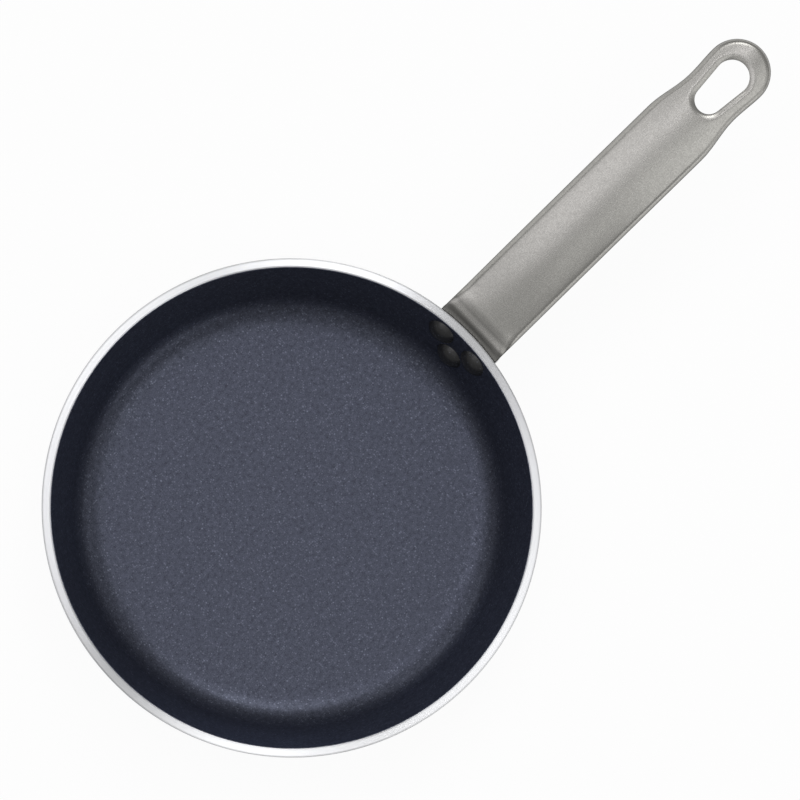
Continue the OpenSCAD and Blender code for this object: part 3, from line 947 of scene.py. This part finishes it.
class PAN_OT_handle(bpy.types.Operator):
    """Presses the strip handle with its tongue, bend, grip and hanging eye"""
    bl_idname = "omelette_pan.handle"
    bl_label = "Handle"

    def execute(self, context):
        dish, strip, rivets, finish = sizes(context)
        shape = StripShape(dish, strip, rivets)
        points, faces, edges, folds, count = [], [], [], [], 0
        for patch, closed in strip_patches(shape):
            rows, columns = patch.shape[:2]
            points.append(shape.face(patch[..., 0], patch[..., 1]).reshape(-1, 3))
            edges.append(shape.edge_distance(patch[..., 0], patch[..., 1]).ravel())
            folds.append(patch[..., 0].ravel() - shape.bend_end)
            faces.append(grid_faces(rows, columns, closed) + count)
            count += rows * columns
        piece = mesh_piece("handle_strip", np.vstack(points), np.vstack(faces))
        for name, values in ((EDGE_ATTRIBUTE, edges), (FOLD_ATTRIBUTE, folds)):
            attribute = piece.data.attributes.new(name, "FLOAT", "POINT")
            attribute.data.foreach_set("value", np.concatenate(values))
        weld(piece, gap=1e-6, closed=False)
        smooth(piece, 180)
        finish_edges(piece, strip.thickness, strip.edge)
        dress(piece, "handle", "grey_coated_steel", stoved_grey(finish))
        return {"FINISHED"}


class PAN_OT_rivets(bpy.types.Operator):
    """Sets the three rivets, with domes inside the pan and formed heads on the handle"""
    bl_idname = "omelette_pan.rivets"
    bl_label = "Rivets"

    def execute(self, context):
        dish, strip, rivets, finish = sizes(context)
        dome, metal = coated_dome(finish), upset_aluminium(finish)
        upper_z = dish.height - rivets.upper_drop
        turn = math.asin(rivets.pitch / 2 / wall_radius(dish, upper_z, 0))
        seats = {"rivet_upper_left": (turn, upper_z), "rivet_upper_right": (-turn, upper_z),
                 "rivet_lower": (0.0, dish.height - rivets.lower_drop)}
        for node, (azimuth, z) in seats.items():
            piece = rivet_piece(node + "_heads", dish, strip, rivets, azimuth, z)
            dress(piece, node, "coated_rivet", dome, metal)
        return {"FINISHED"}


class PAN_OT_stage(bpy.types.Operator):
    """Sets the pale floor, the soft lamps and the camera"""
    bl_idname = "omelette_pan.stage"
    bl_label = "Stage"

    def execute(self, context):
        scene = context.scene
        corners = FLOOR_HALF * np.array([(-1, -1), (1, -1), (1, 1), (-1, 1)])
        points = np.column_stack([corners, np.full(len(corners), -FLOOR_GAP)])
        floor = mesh_piece("studio_floor", points, [(0, 1, 2, 3)])
        floor.data.materials.append(pale_floor())
        for row in CEILING_LAMPS:
            ceiling_lamp(*row)
        for row in SIDE_LAMPS:
            side_lamp(*row)
        world = bpy.data.worlds.new("Studio")
        world.use_nodes = True
        background = world.node_tree.nodes["Background"]
        background.inputs["Color"].default_value = (1, 1, 1, 1)
        path = put(world.node_tree, "ShaderNodeLightPath")
        strength = map_range(world.node_tree, path.outputs["Is Camera Ray"], low=scene.pan_studio.sky)
        world.node_tree.links.new(strength, background.inputs["Strength"])
        scene.world = world
        scene.view_settings.view_transform = "Standard"
        place_camera(context)
        return {"FINISHED"}


OPERATORS = (PAN_OT_dish, PAN_OT_coating, PAN_OT_handle, PAN_OT_rivets, PAN_OT_stage)
GROUPS = {"pan_dish": PanDishSizes, "pan_handle": PanHandleSizes, "pan_rivets": PanRivetSizes,
          "pan_finishes": PanFinishes, "pan_studio": PanStudio}


class PAN_PT_pan(bpy.types.Panel):
    """Lists the pan's pieces and values"""
    bl_idname = "PAN_PT_pan"
    bl_label = "Omelette pan"
    bl_space_type = "VIEW_3D"
    bl_region_type = "UI"
    bl_category = "Pan"

    def draw(self, context):
        for operator in OPERATORS:
            self.layout.operator(operator.bl_idname)
        for name, group in GROUPS.items():
            values = getattr(context.scene, name)
            box = self.layout.box()
            for key in group.__annotations__:
                box.prop(values, key)


def register():
    for group in GROUPS.values():
        bpy.utils.register_class(group)
    for name, group in GROUPS.items():
        setattr(bpy.types.Scene, name, PointerProperty(type=group))
    for kind in (*OPERATORS, PAN_PT_pan):
        bpy.utils.register_class(kind)


def unregister():
    for kind in (PAN_PT_pan, *reversed(OPERATORS)):
        bpy.utils.unregister_class(kind)
    for name in GROUPS:
        delattr(bpy.types.Scene, name)
    for group in reversed(GROUPS.values()):
        bpy.utils.unregister_class(group)


def main():
    register()
    for operator in OPERATORS:
        group, name = operator.bl_idname.split(".")
        getattr(getattr(bpy.ops, group), name)()
    bpy.context.view_layer.update()


if __name__ == "__main__":
    main()
